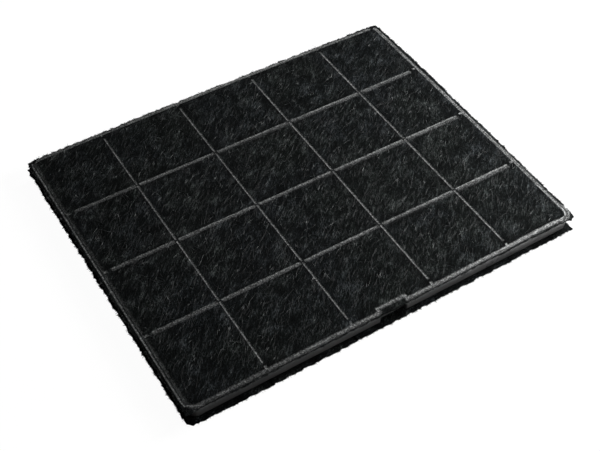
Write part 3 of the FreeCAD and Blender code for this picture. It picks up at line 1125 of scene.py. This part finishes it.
    def build(self, cloth: Material) -> Object:
        """Make the sheet.

        Args:
            cloth: Its material.

        Returns:
            The finished piece.
        """
        sheet = self.flat_blank()
        points = read_points(sheet)
        on_top = points[:, 2] > -self.thickness / 2
        outer = on_top if self.face is Face.UPPER else ~on_top
        x, y = points[:, 0], points[:, 1]
        depth, _ = self.edge_depth(x, y)
        move_x, move_y = self.edge_move(x, y)
        x, y = x + move_x, y + move_y
        thinner = self.edge_thinning * (1 - smooth_step(*self.edge_round, depth))
        outer_z = self.outer_z - self.side * (self.relief(x, y) + thinner)
        over_bead = 1 - smooth_step(*self.seat_wall, self.welds.off_bead(x, y))
        inner_z = self.inner_z + self.side * (self.seat * over_bead + thinner)
        z = np.where(outer, outer_z, inner_z) + self.margin_lift(x, y)
        if self.face is Face.LOWER:
            z = np.maximum(z, self.low.z)
        write_points(sheet, np.stack([x, y, z], axis=1))
        # the weld attribute holds the melted welds with a painted highlight and painted shade laid in
        weld = WeldMeltAndPaintedHighlight(self.welds).at(x, y) * outer
        layer = sheet.data.attributes.new("weld", "FLOAT", "POINT")
        layer.data.foreach_set("value", weld.astype(np.float32))
        select_only(sheet)
        bpy.ops.object.shade_smooth_by_angle(angle=math.radians(self.crease))
        sheet.data.materials.append(cloth)
        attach(sheet, BODY)
        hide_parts(self.node)
        return sheet

    def outline(self) -> Array:
        """List the corners of the cut outline, anticlockwise.

        Returns:
            One row of x and y for each corner.
        """
        side, front, back = self.high.x, self.low.y, self.high.y
        inner = side - self.cut_x
        right = [(inner, front), (side, front + self.cut_y), (side, back - self.cut_y), (inner, back)]
        *left, first = [(-x, y) for x, y in reversed(right)]
        return np.array([first, *right, *left])

    def make(self, cloth: Material, fibre: Material) -> list[Object]:
        """Args:
            cloth: The sheet's material.
            fibre: The fibres' material.

        Returns:
            The pieces.
        """
        sheet = self.build(cloth)
        fuzz = EdgeFuzz().strands(self).build(fibre)
        fibres = LooseFibres().strands(self).build(fibre)
        return [sheet, fuzz, fibres]


@dataclass(frozen=True)
class EdgeFuzz:
    """The tufts that stand out of a sheet's cut edge. Directions are in radians."""

    count: int = 6200
    pick: int = 20
    root: float = 0.25 * MM
    turn: float = 0.6  # how much they vary from straight out
    turn_most: float = 1.3
    length: float = 0.65 * MM
    length_spread: float = 0.4
    length_most: float = 1.8 * MM
    bend: float = 0.5
    rise: float = 0.25
    heights: Range = (0.3, 0.7)  # as shares of the sheet's thickness
    lowest: float = 0.25 * MM
    thick_share: float = 0.22
    thick: Range = (0.12 * MM, 0.2 * MM)
    thin: Range = (0.05 * MM, 0.11 * MM)
    taper: Row = (1.0, 0.8, 0.3)

    def strands(self, sheet: FleeceSheet) -> Strands:
        """Lay the tufts along a sheet's edge.

        Args:
            sheet: The sheet.

        Returns:
            The tufts.
        """
        draws = np.random.default_rng(sheet.seed + self.pick)
        corners = sheet.outline()
        sides = np.roll(corners, -1, axis=0) - corners
        lengths = np.linalg.norm(sides, axis=1)
        side = draws.choice(len(sides), self.count, p=lengths / lengths.sum())
        along = sides[side] / lengths[side, None]
        root = corners[side] + along * (draws.random(self.count) * lengths[side])[:, None]
        outward = np.stack([along[:, 1], -along[:, 0]], axis=1)
        root = root + np.column_stack(sheet.edge_move(*root.T)) - outward * self.root
        turn = np.clip(draws.normal(0, self.turn, self.count), -self.turn_most, self.turn_most)
        length = draws.lognormal(math.log(self.length), self.length_spread, self.count)
        length = np.clip(length, 0, self.length_most)
        bend = draws.normal(0, self.bend, self.count)
        rise = draws.normal(0.0, self.rise, self.count)
        height = draws.uniform(*self.heights, self.count) * sheet.thickness
        height = sheet.low.z + height + sheet.margin_lift(*root.T)
        place = np.column_stack([root, height])
        lines = []
        points = len(self.taper)
        for step in range(points):
            lines.append(place)
            angle = turn + bend * step / points
            flat = outward * np.cos(angle)[:, None] + along * np.sin(angle)[:, None]
            place = place + np.column_stack([flat, rise]) * (length / (points - 1))[:, None]
        line = np.stack(lines, axis=1)
        line[:, :, 2] = np.maximum(line[:, :, 2], self.lowest)
        is_thick = draws.random(self.count) < self.thick_share
        thick = draws.uniform(*self.thick, self.count)
        radius = np.where(is_thick, thick, draws.uniform(*self.thin, self.count))
        return Strands(f"{sheet.node}_edge_fuzz", line, radius[:, None] * np.array(self.taper))


@dataclass(frozen=True)
class LooseFibres:
    """The loose fibres that lie on a sheet's face. Directions are in radians."""

    count: int = 4600
    pick: int = 40
    border: float = 2 * MM
    off_weld: float = 1.0 * MM
    laid_share: float = 0.8  # how many of the fibres follow the lay
    lay: float = 0.76
    lay_spread: float = 0.28
    length: float = 4.0 * MM
    length_spread: float = 0.45
    lengths: Range = (1.4 * MM, 10 * MM)
    bend: float = 0.28
    lifts: Range = (0.02 * MM, 0.16 * MM)
    gap: float = 0.01 * MM
    lowest: float = 0.05 * MM
    radii: Range = (0.03 * MM, 0.07 * MM)
    taper: Row = (0.5, 1.0, 1.0, 0.9, 0.4)

    def strands(self, sheet: FleeceSheet) -> Strands:
        """Lay the fibres on a sheet's face.

        Args:
            sheet: The sheet.

        Returns:
            The fibres.
        """
        draws = np.random.default_rng(sheet.seed + self.pick)
        tries = self.count * 2
        x = draws.uniform(sheet.low.x + self.border, sheet.high.x - self.border, tries)
        y = draws.uniform(sheet.low.y + self.border, sheet.high.y - self.border, tries)
        clear = sheet.welds.outside(x, y, True) > self.off_weld
        x, y = x[clear][: self.count], y[clear][: self.count]
        count = len(x)
        laid = draws.random(count) < self.laid_share
        along_lay = draws.normal(self.lay, self.lay_spread, count)
        angle = np.where(laid, along_lay, draws.uniform(0, math.pi, count))
        length = draws.lognormal(math.log(self.length), self.length_spread, count)
        length = np.clip(length, *self.lengths)
        bend = draws.normal(0, self.bend, count)
        lift = draws.uniform(*self.lifts, count)
        lines = []
        last = len(self.taper) - 1
        for step in range(last + 1):
            off_face = lift * math.sin(math.pi * step / last) + self.gap
            z = sheet.outer_z - sheet.side * (sheet.relief(x, y) - off_face)
            lines.append(np.column_stack([x, y, np.maximum(z, self.lowest)]))
            heading = angle + bend * step / last
            x = x + np.cos(heading) * length / last
            y = y + np.sin(heading) * length / last
        radius = draws.uniform(*self.radii, count)[:, None] * np.array(self.taper)
        return Strands(f"{sheet.node}_fibres", np.stack(lines, axis=1), radius)


@dataclass(frozen=True)
class PackedPieces:
    """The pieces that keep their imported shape: the moulded frame and the carbon beds."""

    moulding: str = "frame"
    replaced: str = "fleece"

    def dress(self, plastic: Material, carbon: Material) -> list[Object]:
        """Give them their materials.

        Args:
            plastic: The frame's material.
            carbon: The beds' material.

        Returns:
            The pieces.
        """
        kept = {name: node for name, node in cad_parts.items() if not name.endswith(self.replaced)}
        for name, node in kept.items():
            moulded = name == self.moulding
            node.data.materials.clear()
            node.data.materials.append(plastic if moulded else carbon)
        return list(kept.values())


def add_pointed(name: str, data: bpy.types.ID, place: Vector, way: Vector) -> Object:
    """Add a camera or a lamp that points in a direction.

    Args:
        name: The object's name.
        data: The camera or the lamp.
        place: Where it stands or hangs.
        way: The direction.

    Returns:
        The object.
    """
    made = bpy.data.objects.new(name, data)
    made.location = place
    made.rotation_mode = "QUATERNION"
    made.rotation_quaternion = way.to_track_quat("-Z", "Y")
    bpy.context.scene.collection.objects.link(made)
    return made


@dataclass(frozen=True)
class Softbox:
    """One soft lamp."""

    name: str
    place: Triple
    target: Triple
    size: Range
    power: float  # watts

    def hang(self) -> None:
        """Add the lamp to the scene."""
        lamp = bpy.data.lights.new(self.name, "AREA")
        lamp.shape = "RECTANGLE"
        lamp.size, lamp.size_y = self.size
        lamp.energy = self.power
        place = Vector(self.place)
        add_pointed(self.name, lamp, place, Vector(self.target) - place)


@dataclass(frozen=True)
class Studio:
    """The camera, the floor, the lamps and the sky."""

    camera_place: Triple = (-0.21395, -0.35315, 0.4476)
    camera_way: Triple = (0.3456, 0.5618, -0.7516)
    lens: float = 64.07  # millimetres, on a sensor 36 mm wide
    nearest: float = 0.01
    floor_size: float = 6.0
    floor_tone: float = 0.85
    floor_white: float = 1.05
    floor_glow: float = 0.92
    floor_mirrored: float = 0.12  # share of the white that a reflection sees
    sky_mirrored: float = 0.15  # the same share for the sky
    sky_light: float = 0.03
    lamps: tuple[Softbox, ...] = (
        Softbox("key", (0.34, -0.07, 0.22), (0.0, -0.02, 0.0), (0.16, 0.16), 2.9),
        Softbox("back", (0.44, 0.38, 0.53), (0.05, 0.0, 0.0), (0.2, 0.16), 2.1),
        Softbox("front", (0.36, -0.40, 0.07), (0.05, -0.10, 0.0), (0.2, 0.08), 2.2),
    )

    def set_camera(self) -> None:
        """Add the camera."""
        camera = bpy.data.cameras.new("camera")
        camera.lens = self.lens
        camera.clip_start = self.nearest
        made = add_pointed("camera", camera, Vector(self.camera_place), Vector(self.camera_way))
        bpy.context.scene.camera = made

    @staticmethod
    def _seen(graph: Graph, mirrored: float) -> Socket:
        """Tell the rays that see a background: from the camera, by a reflection or through.

        Args:
            graph: The tree that asks.
            mirrored: The value for a ray of a reflection.

        Returns:
            1 for a ray from the camera or through glass, the given value for a ray of a
            reflection, and 0 for any other kind.
        """
        path = graph.node("ShaderNodeLightPath").outputs
        glossy = graph.math("MULTIPLY", path["Is Glossy Ray"], mirrored)
        either = graph.math("MAXIMUM", path["Is Camera Ray"], glossy)
        return graph.math("MAXIMUM", either, path["Is Transmission Ray"])

    def lay_floor(self) -> None:
        """Add the pale floor."""
        bpy.ops.object.select_all(action="DESELECT")
        bpy.ops.mesh.primitive_plane_add(size=self.floor_size)
        floor = bpy.context.active_object
        floor.name = "floor"
        material = bpy.data.materials.new("floor")
        material.use_nodes = True
        graph = Graph(material.node_tree)
        plain = material.node_tree.nodes["Principled BSDF"]
        graph.fill(plain, {"Base Color": tone(*[self.floor_tone] * 3)})
        graph.fill(plain, {"Roughness": 0.9, "Specular IOR Level": 0.1})
        white = graph.node("ShaderNodeEmission", {"Strength": self.floor_white})
        share = graph.math("MULTIPLY", self._seen(graph, self.floor_mirrored), self.floor_glow)
        both = graph.node("ShaderNodeMixShader", {0: share, 1: plain.outputs[0], 2: white.outputs[0]})
        graph.fill(material.node_tree.nodes["Material Output"], {"Surface": both.outputs[0]})
        floor.data.materials.append(material)

    def set_sky(self) -> None:
        """Set the light from all round, and the white that is seen behind the object."""
        world = bpy.data.worlds.new("studio")
        bpy.context.scene.world = world
        world.use_nodes = True
        graph = Graph(world.node_tree)
        seen = self._seen(graph, self.sky_mirrored)
        strength = graph.add_up([(seen, 1.0 - self.sky_light)], self.sky_light)
        background = world.node_tree.nodes["Background"]
        graph.fill(background, {"Strength": strength, "Color": tone(1.0, 1.0, 1.0)})

    def build(self) -> None:
        """Set up the whole studio."""
        bpy.context.scene.view_settings.view_transform = "Standard"
        self.set_camera()
        self.lay_floor()
        self.set_sky()
        for lamp in self.lamps:
            lamp.hang()


def main() -> None:
    """Build the cassette's looks and the studio, in order."""
    logging.basicConfig(level=logging.INFO, format="%(message)s")
    Studio().build()
    patterns = SharedPatterns.build()
    cloth = FleeceFinish().make(patterns)
    fibre = FibreFinish().make(patterns)
    packed = PackedPieces().dress(PlasticFinish().make(patterns), CarbonFinish().make(patterns))
    welds = WeldLayout(Plan.read())
    upper = FleeceSheet(Face.UPPER, "top_fleece", welds, UPPER_TRIM, 100, -0.5, 0.5, 0.35 * MM)
    lower = FleeceSheet(Face.LOWER, "bottom_fleece", welds, LOWER_TRIM, 200, 0.15, 0.3)
    for piece in packed + upper.make(cloth, fibre) + lower.make(cloth, fibre):
        LOG.info("%s: %d faces", piece.name, len(piece.data.polygons))


if __name__ == "__main__":
    main()
